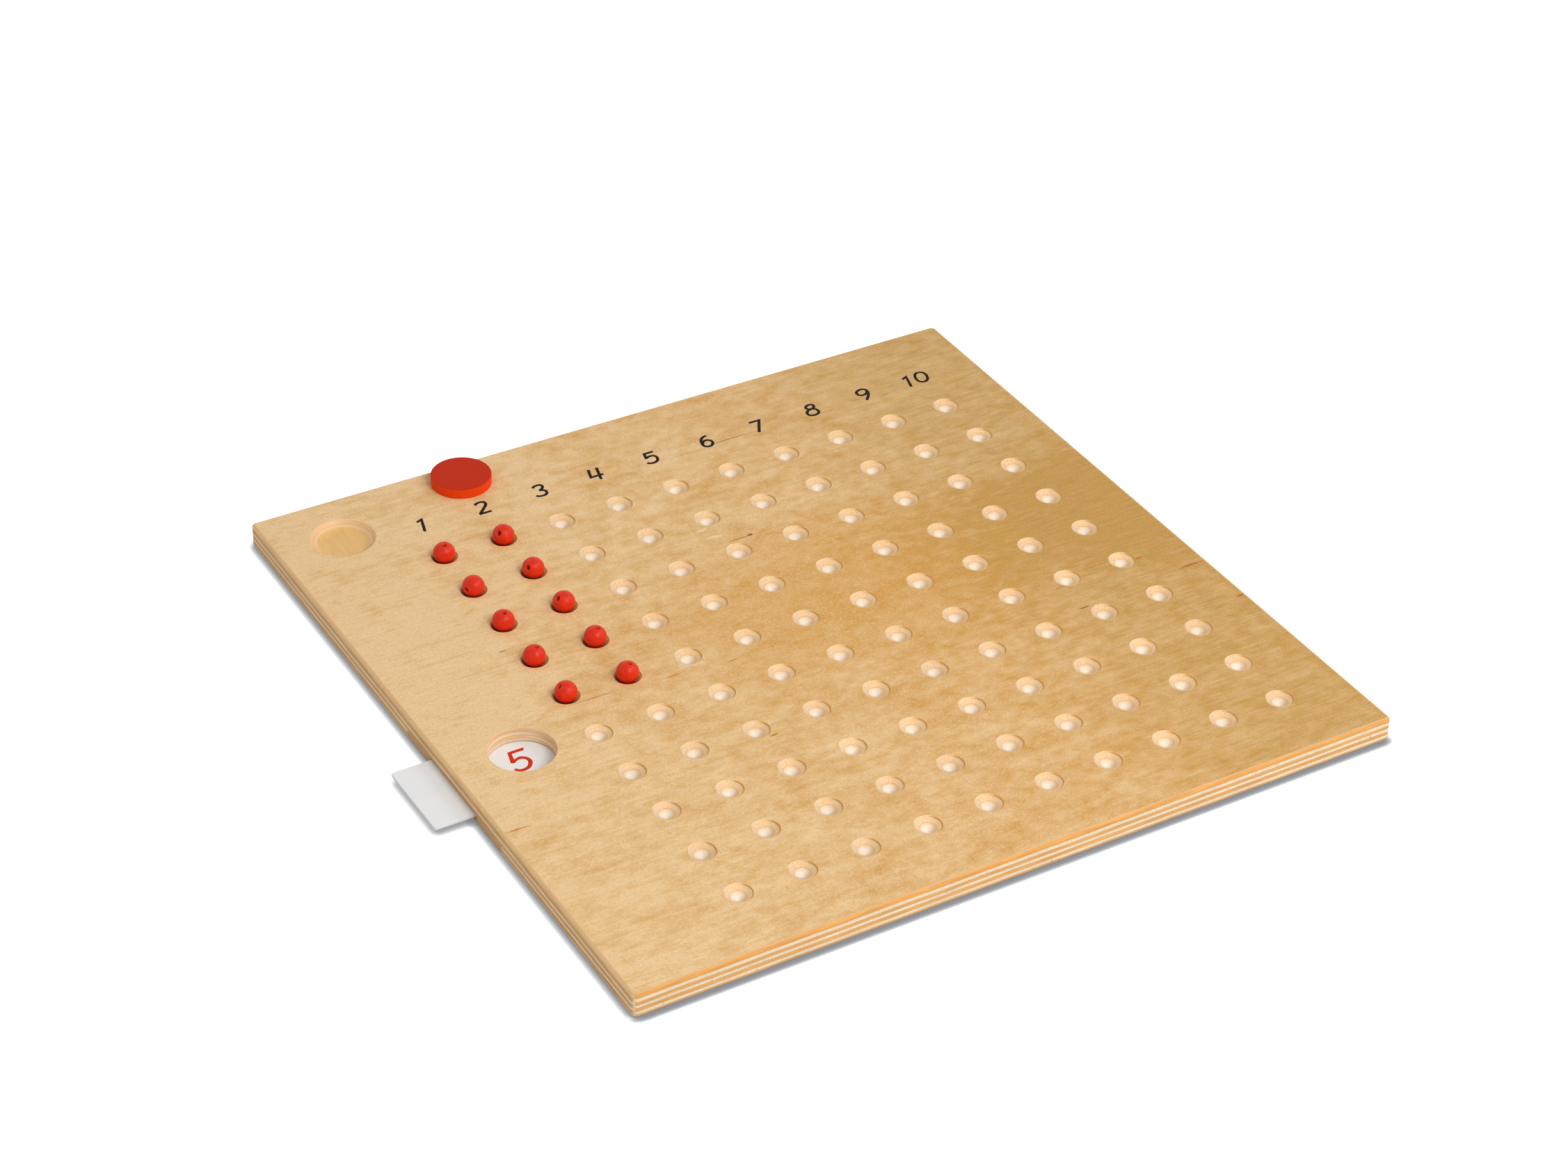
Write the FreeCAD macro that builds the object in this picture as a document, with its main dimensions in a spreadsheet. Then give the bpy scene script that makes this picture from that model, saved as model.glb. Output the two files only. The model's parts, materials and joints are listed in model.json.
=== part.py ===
import FreeCAD, Part
import os
import re
from math import pi
import Sketcher

# Multiplication bead board: a square of seven-ply birch plywood with a ten by ten grid of
# drilled seats for beads, a round window over a card slot at the left edge, and a round recess
# for the counter. Frame: origin at the centre of the underside, +X to the right, +Y to the
# numbered back edge, +Z up. Millimetres and degrees.

SIZES = [
    # The grid of seats, drilled until the corners of a twist drill's lips enter the wood
    ("seat_count", 10, "seats in a row, and rows"),
    ("seat_pitch", 24.25, "centre to centre, both ways"),
    ("seat_diameter", 9.8, "the drill"),
    ("seat_wall", 0.3, "upright wall above the cone"),
    ("drill_point_angle", 118, "included angle of the cone"),
    # The plywood square round the grid
    ("left_margin", 53.75, "left edge to the centres of column 1"),
    ("right_margin", 28, "centres of column 10 to the right edge"),
    ("back_margin", 53.85, "back edge to the centres of row 1"),
    ("front_margin", 27.9, "centres of row 10 to the front edge"),
    ("board_thickness", 9.5, "seven plies"),
    ("corner_radius", 2, "upright corners of the square, seen from above"),
    ("arris_radius", 1.2, "sanded edges round the top and the underside"),
    # The window over the card
    ("window_diameter", 24, "bored down to the card slot"),
    ("window_from_left", 26.5, "left edge to the window's centre"),
    ("window_from_front", 129.4, "front edge to the window's centre"),
    ("rim_ease", 0.4, "broken edges of the window's and the recess's rims"),
    # The recess for the counter, a shallow dish
    ("recess_diameter", 24, "at the mouth"),
    ("recess_from_left", 26.4, "left edge to the recess's centre"),
    ("recess_from_back", 24.9, "back edge to the recess's centre"),
    ("recess_depth", 2.9, "top of the board to the recess's floor"),
    ("recess_cove", 4.8, "radius of the hollow that rises from the floor to the mouth"),
    # The inlay glued into a pocket milled from below
    ("inlay_side_wall", 18.25, "each side of the slot to that side of the inlay"),
    ("inlay_end_wall", 8.9, "the slot's inner end to the inlay's inner end"),
    ("inlay_thickness", 4, "as deep as the lowest three plies"),
    ("inlay_from_front", 128.5, "front edge to the middle of the inlay and the slot"),
    ("inlay_corner", 5, "inner corners, left by the milling cutter"),
    ("glue_gap", 0.05, "between the inlay's sides and its pocket"),
    # The card and its slot, a channel in the inlay's top
    ("card_length", 61, "outer end to inner end"),
    ("card_width", 34, "across the slot"),
    ("card_thickness", 1.2, "stiff white board"),
    ("card_corner", 1, "rounded corners"),
    ("card_reach", 15.2, "what stands out of the left edge"),
    ("card_turn", 0.4, "how far the card lies askew, in degrees"),
    ("card_shift", 0.45, "how far the card lies behind the middle of its slot"),
    ("card_side_play", 1, "between a card in the middle and each side of the slot"),
    ("card_end_play", 2, "between the card's inner end and the slot's end"),
    ("slot_height", 1.5, "floor of the channel to the plywood above it"),
    ("slot_corner", 2, "inner corners of the channel"),
    ("slot_lead", 0.75, "broken edge of the channel's floor at the board's left edge"),
    # The counter disc, lying flat on the board
    ("disc_diameter", 23.1, "fits the recess"),
    ("disc_thickness", 3.9, "between its flat faces"),
    ("disc_edge", 0.3, "broken edges of both faces"),
    ("disc_from_left", 80.9, "left edge to the disc's centre"),
    ("disc_from_back", 12.4, "back edge to the disc's centre"),
    # The beads, each lying in a seat
    ("bead_diameter", 8.3, "turned wooden bead"),
    ("bore_diameter", 2, "right through the bead"),
    ("bead_gap", 0.03, "between a bead and the cone that it lies in"),
]

# Column and row of each bead, then the tilt of its bore from upright and the direction that
# the bore's upper end leans to, counted from +X towards +Y.
BEADS = [
    (1, 1, 10, -110),
    (1, 2, 85, -158),
    (1, 3, 10, -100),
    (1, 4, 20, -60),
    (1, 5, 40, 170),
    (2, 1, 50, -152),
    (2, 2, 60, -154),
    (2, 3, 47, -170),
    (2, 4, 14, -30),
    (2, 5, 11, -30),
]

# Sizes and places that follow from the sheet
GRID_SPAN = "(seat_count - 1) * seat_pitch"
BOARD_WIDTH = f"(left_margin + {GRID_SPAN} + right_margin)"
BOARD_DEPTH = f"(front_margin + {GRID_SPAN} + back_margin)"
LEFT_EDGE = f"-{BOARD_WIDTH} / 2"
FRONT_EDGE = f"-{BOARD_DEPTH} / 2"
BACK_EDGE = f"{BOARD_DEPTH} / 2"
SEAT_DEPTH = "(seat_wall + seat_diameter / 2 / tan(drill_point_angle / 2))"
SLOT_WIDTH = "(card_width + 2 * card_side_play)"
SLOT_LENGTH = "(card_length - card_reach + card_end_play)"
SLOT_FLOOR = "inlay_thickness - slot_height"
POCKET_WIDTH = f"({SLOT_WIDTH} + 2 * inlay_side_wall)"
POCKET_LENGTH = f"({SLOT_LENGTH} + inlay_end_wall)"
BEAD_CENTRE = f"(bead_diameter / 2 + bead_gap) / sin(drill_point_angle / 2) - {SEAT_DEPTH}"

TOLERANCE = 1e-4
UP = FreeCAD.Vector(0, 0, 1)

doc = FreeCAD.newDocument("bead_board")
sheet = doc.addObject("Spreadsheet::Sheet", "Sizes")
for row, (alias, value, words) in enumerate(SIZES, start=1):
    sheet.set(f"A{row}", alias)
    sheet.set(f"B{row}", str(value))
    sheet.set(f"C{row}", words)
    sheet.setAlias(f"B{row}", alias)
doc.recompute()


def bind(item, prop, text):
    """Tie a property to an expression: words joined by underscores are sizes of the sheet."""
    item.setExpression(prop, re.sub(r"\b[a-z]+(_[a-z]+)+\b", r"Sizes.\g<0>", text))


def size(alias):
    """The present value of one size."""
    return float(sheet.get(alias))


def new_body(name, **place):
    """An empty body labelled with the node's name, moved by expressions for x, y and z."""
    body = doc.addObject("PartDesign::Body", name)
    body.Label = name
    for axis, text in place.items():
        bind(body, f"Placement.Base.{axis}", text)
    return body


def origin_part(body, role):
    """One of the body's own origin planes or axes."""
    return next(part for part in body.Origin.OriginFeatures if part.Role == role)


def new_sketch(body, name, plane="XY_Plane", **shift):
    """A sketch on an origin plane, shifted by expressions in the plane's own directions."""
    sketch = body.newObject("Sketcher::SketchObject", name)
    sketch.AttachmentSupport = [(origin_part(body, plane), "")]
    sketch.MapMode = "FlatFace"
    for axis, text in shift.items():
        bind(sketch, f"AttachmentOffset.Base.{axis}", text)
    return sketch


def add_line(sketch, start, end):
    """A straight edge between two points of the sketch."""
    ends = (FreeCAD.Vector(*start, 0), FreeCAD.Vector(*end, 0))
    return sketch.addGeometry(Part.LineSegment(*ends), False)


def constrain(sketch, *terms):
    """A constraint without a value."""
    sketch.addConstraint(Sketcher.Constraint(*terms))


def dimension(sketch, name, text, *terms):
    """A named dimension whose value is an expression on the sheet."""
    index = sketch.addConstraint(Sketcher.Constraint(*terms))
    sketch.renameConstraint(index, name)
    bind(sketch, f"Constraints.{name}", text)


def draw_rectangle(sketch, width, depth):
    """A rectangle about the sketch's origin; width and depth are expressions."""
    corners = [(-1, -1), (1, -1), (1, 1), (-1, 1)]
    sides = [add_line(sketch, corners[i], corners[(i + 1) % 4]) for i in range(4)]
    for i in range(4):
        constrain(sketch, "Coincident", sides[i], 2, sides[(i + 1) % 4], 1)
        constrain(sketch, "Horizontal" if i % 2 == 0 else "Vertical", sides[i])
    constrain(sketch, "Symmetric", sides[0], 1, sides[1], 2, -1, 1)
    dimension(sketch, "Width", width, "DistanceX", sides[0], 1, sides[0], 2, 2.0)
    dimension(sketch, "Depth", depth, "DistanceY", sides[1], 1, sides[1], 2, 2.0)


def draw_circle(sketch, diameter):
    """A circle about the sketch's origin; its diameter is an expression."""
    circle = sketch.addGeometry(Part.Circle(FreeCAD.Vector(), UP, 1), False)
    constrain(sketch, "Coincident", circle, 3, -1, 1)
    dimension(sketch, "Diameter", diameter, "Diameter", circle, 2.0)


def pad(body, sketch, height):
    """Material from a closed sketch, upwards by an expression."""
    feature = body.newObject("PartDesign::Pad", "Pad")
    feature.Profile = sketch
    bind(feature, "Length", height)
    return feature


def pocket(body, name, sketch, depth=None, upwards=False):
    """A cut from a closed sketch, to a depth or right through, down or up."""
    feature = body.newObject("PartDesign::Pocket", name)
    feature.Profile = sketch
    feature.Reversed = upwards
    if depth is None:
        feature.Type = "ThroughAll"
    else:
        bind(feature, "Length", depth)
    return feature


def groove(body, name, sketch):
    """A full turn of a closed sketch about its own upright axis, cut away."""
    feature = body.newObject("PartDesign::Groove", name)
    feature.Profile = sketch
    feature.ReferenceAxis = (sketch, ["V_Axis"])
    feature.Angle = 360
    return feature


def is_upright(edge):
    """Whether an edge is straight and parallel to Z."""
    box = edge.BoundBox
    return box.XLength < TOLERANCE and box.YLength < TOLERANCE


def lies_at(edge, height):
    """Whether an edge lies wholly at one height."""
    box = edge.BoundBox
    return abs(box.ZMin - height) < TOLERANCE and abs(box.ZMax - height) < TOLERANCE


def is_circle(edge, diameter):
    """Whether an edge is a full circle of that diameter."""
    return edge.Closed and abs(edge.BoundBox.XLength - diameter) < TOLERANCE


def ease_edges(body, kind, name, amount, wanted):
    """A fillet or chamfer on those edges of the body's latest feature that the test picks."""
    doc.recompute()
    base = body.Tip
    names = [f"Edge{i}" for i, edge in enumerate(base.Shape.Edges, start=1) if wanted(edge)]
    if not names:
        raise RuntimeError(f"no edge found for {name}")
    feature = body.newObject(f"PartDesign::{kind}", name)
    feature.Base = (base, names)
    bind(feature, "Radius" if kind == "Fillet" else "Size", amount)
    return feature


def fillet(body, name, radius, wanted):
    """Rounded edges."""
    return ease_edges(body, "Fillet", name, radius, wanted)


def chamfer(body, name, width, wanted):
    """Broken edges at 45 degrees."""
    return ease_edges(body, "Chamfer", name, width, wanted)


def make_board():
    """The plywood square with its pocket, window, recess and grid of seats."""
    body = new_body("board")
    outline = new_sketch(body, "Outline")
    draw_rectangle(outline, BOARD_WIDTH, BOARD_DEPTH)
    pad(body, outline, "board_thickness")
    thickness = size("board_thickness")
    fillet(body, "Corners", "corner_radius", is_upright)
    fillet(body, "Arrises", "arris_radius", lambda e: lies_at(e, 0) or lies_at(e, thickness))

    inlay_outline = new_sketch(
        body,
        "PocketOutline",
        x=f"{LEFT_EDGE} + {POCKET_LENGTH} / 2",
        y=f"{FRONT_EDGE} + inlay_from_front",
    )
    draw_rectangle(inlay_outline, POCKET_LENGTH, POCKET_WIDTH)
    inlay_pocket = pocket(body, "InlayPocket", inlay_outline, "inlay_thickness", upwards=True)
    doc.recompute()
    inner = inlay_outline.Shape.BoundBox.XMax
    fillet(
        body,
        "PocketCorners",
        "inlay_corner",
        lambda e: is_upright(e) and abs(e.BoundBox.XMax - inner) < TOLERANCE,
    )

    window_circle = new_sketch(
        body,
        "WindowCircle",
        x=f"{LEFT_EDGE} + window_from_left",
        y=f"{FRONT_EDGE} + window_from_front",
        z="board_thickness",
    )
    draw_circle(window_circle, "window_diameter")
    window = pocket(body, "Window", window_circle)

    dish = new_sketch(
        body,
        "RecessDish",
        "XZ_Plane",
        x=f"{LEFT_EDGE} + recess_from_left",
        y="board_thickness",
        z=f"recess_from_back - {BACK_EDGE}",
    )
    mouth = add_line(dish, (0, 0), (12, 0))
    hollow = Part.Circle(FreeCAD.Vector(8, 2, 0), UP, 5)
    cove = dish.addGeometry(Part.ArcOfCircle(hollow, -pi / 2, -pi / 8), False)
    floor = add_line(dish, (8, -3), (0, -3))
    axis = add_line(dish, (0, -3), (0, 0))
    constrain(dish, "Coincident", mouth, 1, -1, 1)
    constrain(dish, "Coincident", mouth, 2, cove, 2)
    constrain(dish, "Coincident", cove, 1, floor, 1)
    constrain(dish, "Coincident", floor, 2, axis, 1)
    constrain(dish, "Coincident", axis, 2, mouth, 1)
    constrain(dish, "Horizontal", mouth)
    constrain(dish, "Horizontal", floor)
    constrain(dish, "Vertical", axis)
    constrain(dish, "Vertical", cove, 3, cove, 1)
    dimension(dish, "Radius", "recess_diameter / 2", "DistanceX", mouth, 1, mouth, 2, 1.0)
    dimension(dish, "Depth", "recess_depth", "DistanceY", axis, 1, axis, 2, 1.0)
    dimension(dish, "Cove", "recess_cove", "Radius", cove, 1.0)
    recess = groove(body, "Recess", dish)
    bores = (size("window_diameter"), size("recess_diameter"))
    chamfer(
        body,
        "Rims",
        "rim_ease",
        lambda e: lies_at(e, thickness) and any(is_circle(e, bore) for bore in bores),
    )

    # One seat at column 1, row 1, left by the drill's point and lips
    cone = new_sketch(
        body,
        "SeatCone",
        "XZ_Plane",
        x=f"{LEFT_EDGE} + left_margin",
        y="board_thickness",
        z=f"back_margin - {BACK_EDGE}",
    )
    mouth = add_line(cone, (0, 0), (2, 0))
    wall = add_line(cone, (2, 0), (2, -1))
    flank = add_line(cone, (2, -1), (0, -2))
    axis = add_line(cone, (0, -2), (0, 0))
    for first, second in ((mouth, wall), (wall, flank), (flank, axis), (axis, mouth)):
        constrain(cone, "Coincident", first, 2, second, 1)
    constrain(cone, "Coincident", mouth, 1, -1, 1)
    constrain(cone, "Horizontal", mouth)
    constrain(cone, "Vertical", wall)
    constrain(cone, "Vertical", axis)
    dimension(cone, "Radius", "seat_diameter / 2", "DistanceX", mouth, 1, mouth, 2, 1.0)
    dimension(cone, "Wall", "seat_wall", "DistanceY", wall, 2, wall, 1, 1.0)
    dimension(cone, "Depth", SEAT_DEPTH, "DistanceY", axis, 1, axis, 2, 1.0)
    seat = groove(body, "Seat", cone)

    doc.recompute()
    grid = body.newObject("PartDesign::LinearPattern", "SeatGrid")
    grid.Originals = [seat]
    grid.Direction = (origin_part(body, "X_Axis"), [""])
    grid.Direction2 = (origin_part(body, "Y_Axis"), [""])
    grid.Reversed2 = True
    for suffix in ("", "2"):
        bind(grid, f"Length{suffix}", GRID_SPAN)
        bind(grid, f"Occurrences{suffix}", "seat_count")
    body.Tip = grid
    return body, [inlay_pocket, window, recess, seat, grid]


def make_inlay():
    """The solid wood inlay; its own origin is the middle of its outer bottom edge."""
    body = new_body("slot_inlay", x=LEFT_EDGE, y=f"{FRONT_EDGE} + inlay_from_front")
    length = f"({POCKET_LENGTH} - glue_gap)"
    outline = new_sketch(body, "Outline", x=f"{length} / 2")
    draw_rectangle(outline, length, f"{POCKET_WIDTH} - 2 * glue_gap")
    pad(body, outline, "inlay_thickness")
    fillet(
        body,
        "InnerCorners",
        "inlay_corner - glue_gap",
        lambda e: is_upright(e) and e.BoundBox.XMin > TOLERANCE,
    )
    fillet(
        body,
        "Arris",
        "arris_radius",
        lambda e: lies_at(e, 0) and e.BoundBox.XMax < TOLERANCE,
    )
    channel_outline = new_sketch(
        body, "ChannelOutline", x=f"{SLOT_LENGTH} / 2", z="inlay_thickness"
    )
    draw_rectangle(channel_outline, SLOT_LENGTH, SLOT_WIDTH)
    channel = pocket(body, "Channel", channel_outline, "slot_height")
    doc.recompute()
    end = channel_outline.Shape.BoundBox.XMax
    fillet(
        body,
        "ChannelCorners",
        "slot_corner",
        lambda e: is_upright(e) and abs(e.BoundBox.XMax - end) < TOLERANCE,
    )
    floor = size("inlay_thickness") - size("slot_height")
    chamfer(
        body,
        "ChannelLead",
        "slot_lead",
        lambda e: lies_at(e, floor) and e.BoundBox.XMax < TOLERANCE,
    )
    return body, [channel]


def make_card():
    """The number card, lying a little askew on the floor of its slot."""
    body = new_body(
        "number_card",
        x=f"{LEFT_EDGE} - card_reach + card_length / 2",
        y=f"{FRONT_EDGE} + inlay_from_front + card_shift",
        z=SLOT_FLOOR,
    )
    body.Placement.Rotation = FreeCAD.Rotation(UP, size("card_turn"))
    outline = new_sketch(body, "Outline")
    draw_rectangle(outline, "card_length", "card_width")
    pad(body, outline, "card_thickness")
    fillet(body, "Corners", "card_corner", is_upright)
    return body, []


def make_disc():
    """The counter, a turned disc that lies flat near the board's back edge."""
    body = new_body(
        "counter_disc",
        x=f"{LEFT_EDGE} + disc_from_left",
        y=f"{BACK_EDGE} - disc_from_back",
        z="board_thickness",
    )
    outline = new_sketch(body, "Outline")
    draw_circle(outline, "disc_diameter")
    pad(body, outline, "disc_thickness")
    chamfer(body, "Edges", "disc_edge", lambda e: e.Closed)
    return body, []


def make_bead(column, row, tilt, heading):
    """One bored bead in its seat; its own origin is its centre, with the bore along Z."""
    body = new_body(
        f"bead_c{column}_r{row}",
        x=f"{LEFT_EDGE} + left_margin + {column - 1} * seat_pitch",
        y=f"{BACK_EDGE} - back_margin - {row - 1} * seat_pitch",
        z=f"board_thickness + {BEAD_CENTRE}",
    )
    lean = FreeCAD.Rotation(FreeCAD.Vector(0, 1, 0), tilt)
    body.Placement.Rotation = FreeCAD.Rotation(UP, heading).multiply(lean)
    profile = new_sketch(body, "Profile", "XZ_Plane")
    ball = Part.Circle(FreeCAD.Vector(), UP, 2)
    arc = profile.addGeometry(Part.ArcOfCircle(ball, -1, 1), False)
    bore = add_line(profile, (1, 2), (1, -2))
    constrain(profile, "Coincident", arc, 3, -1, 1)
    constrain(profile, "Coincident", arc, 2, bore, 1)
    constrain(profile, "Coincident", bore, 2, arc, 1)
    constrain(profile, "Vertical", bore)
    dimension(profile, "Radius", "bead_diameter / 2", "Radius", arc, 2.0)
    dimension(profile, "Bore", "bore_diameter / 2", "DistanceX", -1, 1, bore, 1, 1.0)
    turning = body.newObject("PartDesign::Revolution", "Turning")
    turning.Profile = profile
    turning.ReferenceAxis = (profile, ["V_Axis"])
    turning.Angle = 360
    return body, []


made = [make_board(), make_inlay(), make_card(), make_disc()]
made += [make_bead(*bead) for bead in BEADS]
doc.recompute()

for item in doc.Objects:
    if "Invalid" in item.State or "Error" in item.State:
        raise RuntimeError(f"{item.Label} failed: {item.State}")
for body, cuts in made:
    if body.Shape.isNull() or not body.Shape.isValid():
        raise RuntimeError(f"{body.Label} has no valid shape")
    for cut in cuts:
        before = cut.BaseFeature if cut.BaseFeature else body
        if cut.Shape.Volume > before.Shape.Volume - TOLERANCE:
            raise RuntimeError(f"{cut.Label} of {body.Label} removes nothing")

os.makedirs("parts", exist_ok=True)
for body, cuts in made:
    body.Shape.exportStep(f"parts/{body.Label}.step")
    print(body.Label, "volume", round(body.Shape.Volume, 3), "mm3")
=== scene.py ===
import json
from math import asin, cos, pi, radians, sin, sqrt, tan

import bmesh
import bpy
from mathutils import Matrix, Vector
from mathutils.geometry import delaunay_2d_cdt


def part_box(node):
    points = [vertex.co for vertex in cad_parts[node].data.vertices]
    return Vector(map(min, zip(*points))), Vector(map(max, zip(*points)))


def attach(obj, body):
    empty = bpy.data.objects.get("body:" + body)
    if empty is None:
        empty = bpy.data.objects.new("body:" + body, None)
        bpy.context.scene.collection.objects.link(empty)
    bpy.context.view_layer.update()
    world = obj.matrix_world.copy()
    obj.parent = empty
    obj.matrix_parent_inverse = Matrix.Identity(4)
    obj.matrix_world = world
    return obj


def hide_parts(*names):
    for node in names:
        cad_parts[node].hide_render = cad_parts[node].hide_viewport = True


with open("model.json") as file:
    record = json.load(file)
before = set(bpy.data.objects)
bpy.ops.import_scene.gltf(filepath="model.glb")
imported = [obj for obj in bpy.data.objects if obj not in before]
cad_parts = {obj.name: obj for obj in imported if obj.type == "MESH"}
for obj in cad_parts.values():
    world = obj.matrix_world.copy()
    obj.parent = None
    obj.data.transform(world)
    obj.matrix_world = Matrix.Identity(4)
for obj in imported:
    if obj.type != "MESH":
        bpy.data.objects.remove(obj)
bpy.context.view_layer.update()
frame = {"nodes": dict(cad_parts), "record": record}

MM = 0.001


def box_of(node):
    """The two corners of a CAD node's box, in millimetres."""
    return tuple(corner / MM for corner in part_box(node))


def middle(node):
    """The middle of a CAD node's box, in millimetres."""
    low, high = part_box(node)
    return (low + high) / 2 / MM


def opening_middle(name):
    """The middle of one of the record's openings, in millimetres."""
    found = next(o for o in frame["record"]["physics"]["openings"] if o["name"] == name)
    low, high = (Vector(corner) / MM for corner in found["box_m"])
    return (low + high) / 2


# Places read from the frame, in millimetres
LOW, HIGH = box_of("board")
THICK = HIGH.z
FIRST_SEAT = middle("bead_c1_r1")
PITCH = middle("bead_c2_r1").x - FIRST_SEAT.x
SEATS = 10
WINDOW = opening_middle("number_window")
RECESS = opening_middle("counter_recess_mouth")

# Sizes of the board that no box gives, in millimetres
CORNER = 2.0
ARRIS = 1.2
BORE_RADIUS = 12.0
RIM = 0.4
DISH_DEPTH = 2.9
DISH_COVE = 4.8
DISH_LIP = (0.1, 0.08)
INLAY_TOP = 4.0
POCKET_CORNER = 5.0
GLUE = 0.05

# The depths of the glue lines between the plies
PLIES = (1.5, 3.0, 4.25, 5.5, 6.8, 8.1)

# A seat: its lip as steps outwards and down from the top edge of the upright wall, and its cone
# as shares of the radius and of the height from the cone's tip to its rim
SEAT_RADIUS = 4.9
SEAT_WALL = 0.3
SEAT_SLOPE = tan(radians(31))
SEAT_LIP = ((0.2, 0.0), (0.08, 0.03), (-0.04, 0.12), (-0.13, 0.28), (-0.16, 0.42))
SEAT_CONE = ((0.9, 0.9), (0.5, 0.5), (0.2, 0.2), (0.14, 0.15), (0.07, 0.115), (0, 0.105))

# The loose pieces, in millimetres
DISC_EASE = 0.3
DISC_TOP_RING = 1.5
BEAD_RADIUS = 4.15
BEAD_BORE = 0.9
BEAD_MOUTH = 1.28
BEAD_MOUTH_EASE = ((BEAD_MOUTH - 0.1, 0.0), (BEAD_MOUTH - 0.28, 0.1), (BEAD_BORE, 0.38))
CARD_CORNER = 1.0
CARD_EASE = 0.15
CARD_EDGE = ((1, 0), (0.3, 0.3), (0, 1))
CARD_TURN = radians(0.4)
PRINT_LIFT = 0.015

# How finely round forms are divided
CORNER_STEPS = 8
ARRIS_STEPS = 6
RIM_STEPS = 4
COVE_STEPS = 12
DISC_STEPS = 5
BEAD_STEPS = 28
SEAT_SIDES = 56
BORE_SIDES = 128
BEAD_SIDES = 64

# Where the pocket's back side meets the board's left side, counted along an outline
NOTCH = 3 * (CORNER_STEPS + 1)

# The board's material slots
FACE, EDGE, SEAT, DISH = range(4)

# So far along Z that a noise doesn't change through a veneer
THROUGH = 900


def linear(red, green, blue):
    """A display colour of 0 to 255 as linear light, with alpha."""
    parts = []
    for value in (red, green, blue):
        value /= 255
        parts.append(value / 12.92 if value < 0.04045 else ((value + 0.055) / 1.055) ** 2.4)
    return (*parts, 1.0)


class Graph:
    """A node tree, wired by short calls that take numbers, colours or sockets."""

    def __init__(self, tree):
        self.tree = tree

    def add(self, kind, **settings):
        """A new node with its settings."""
        node = self.tree.nodes.new("ShaderNode" + kind)
        for setting, value in settings.items():
            setattr(node, setting, value)
        return node

    def feed(self, socket, value):
        """A link or a plain value into a socket."""
        if isinstance(value, bpy.types.NodeSocket):
            self.tree.links.new(value, socket)
        else:
            socket.default_value = value

    def feed_all(self, node, *values):
        """Values for a node's first sockets. Its first output comes back."""
        for socket, value in zip(node.inputs, values):
            self.feed(socket, value)
        return node.outputs[0]

    def math(self, operation, *values):
        """One Math node."""
        return self.feed_all(self.add("Math", operation=operation), *values)

    def plus(self, first, second):
        """A sum."""
        return self.math("ADD", first, second)

    def minus(self, first, second):
        """A difference."""
        return self.math("SUBTRACT", first, second)

    def times(self, first, second):
        """A product."""
        return self.math("MULTIPLY", first, second)

    def apart(self, first, second):
        """The distance between two values."""
        return self.math("ABSOLUTE", self.minus(first, second))

    def length(self, x, y):
        """The length of a flat vector."""
        return self.math("SQRT", self.math("MULTIPLY_ADD", x, x, self.times(y, y)))

    def split(self, vector):
        """The three parts of a vector."""
        node = self.add("SeparateXYZ")
        self.feed(node.inputs[0], vector)
        return tuple(node.outputs)

    def join(self, x, y, z):
        """A vector of three parts."""
        return self.feed_all(self.add("CombineXYZ"), x, y, z)

    def span(self, value, low, high, to_low=0.0, to_high=1.0, smooth=True):
        """A value's place between two limits, turned into another range."""
        node = self.add("MapRange", interpolation_type="SMOOTHSTEP" if smooth else "LINEAR")
        return self.feed_all(node, value, low, high, to_low, to_high)

    def blend(self, share, first, second, kind="MIX"):
        """Two colours mixed."""
        node = self.add("Mix", data_type="RGBA", blend_type=kind)
        self.feed(node.inputs[0], share)
        self.feed(node.inputs[6], first)
        self.feed(node.inputs[7], second)
        return node.outputs[2]

    def grey(self, colour, value):
        """A colour times a grey."""
        return self.blend(1.0, colour, self.join(value, value, value), "MULTIPLY")

    def lighten(self, colour, value, low, high):
        """A colour times a grey that runs from low to high as the value runs from 0.3 to 0.7."""
        return self.grey(colour, self.span(value, 0.3, 0.7, low, high, smooth=False))


class Shade(Graph):
    """The nodes of one of the part's materials."""

    def __init__(self, name, specular=0.5):
        self.material = bpy.data.materials.new(name)
        self.material.use_nodes = True
        super().__init__(self.material.node_tree)
        self.bsdf = self.tree.nodes["Principled BSDF"]
        self.bsdf.inputs["Specular IOR Level"].default_value = specular
        coordinates = self.add("TexCoord")
        self.place = self.scale_vector(coordinates.outputs["Object"], (1 / MM,) * 3)
        self.normal = coordinates.outputs["Normal"]

    def scale_vector(self, vector, scale, shift=(0, 0, 0)):
        """A vector times a scale, plus a shift."""
        return self.feed_all(self.add("VectorMath", operation="MULTIPLY_ADD"), vector, scale, shift)

    def noise(self, size, shift=(0, 0, 0), detail=2.0, rough=0.5, vector=None):
        """Noise with features of that size in millimetres, about 0.5."""
        node = self.add("TexNoise")
        scaled = self.scale_vector(vector or self.place, [1 / part for part in size], shift)
        self.feed(node.inputs["Vector"], scaled)
        node.inputs["Scale"].default_value = 1.0
        node.inputs["Detail"].default_value = detail
        node.inputs["Roughness"].default_value = rough
        return node.outputs[0]

    def finish(self, colour, rough, bumps=()):
        """The colour, the roughness and a stack of bumps, each a height in millimetres."""
        self.feed(self.bsdf.inputs["Base Color"], colour)
        self.feed(self.bsdf.inputs["Roughness"], rough)
        normal = None
        for height, depth in bumps:
            node = self.add("Bump")
            node.inputs["Strength"].default_value = 1.0
            node.inputs["Distance"].default_value = depth * MM
            self.feed(node.inputs["Height"], height)
            if normal is not None:
                self.feed(node.inputs["Normal"], normal)
            normal = node.outputs[0]
        if normal is not None:
            self.feed(self.bsdf.inputs["Normal"], normal)
        return self.material


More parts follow.
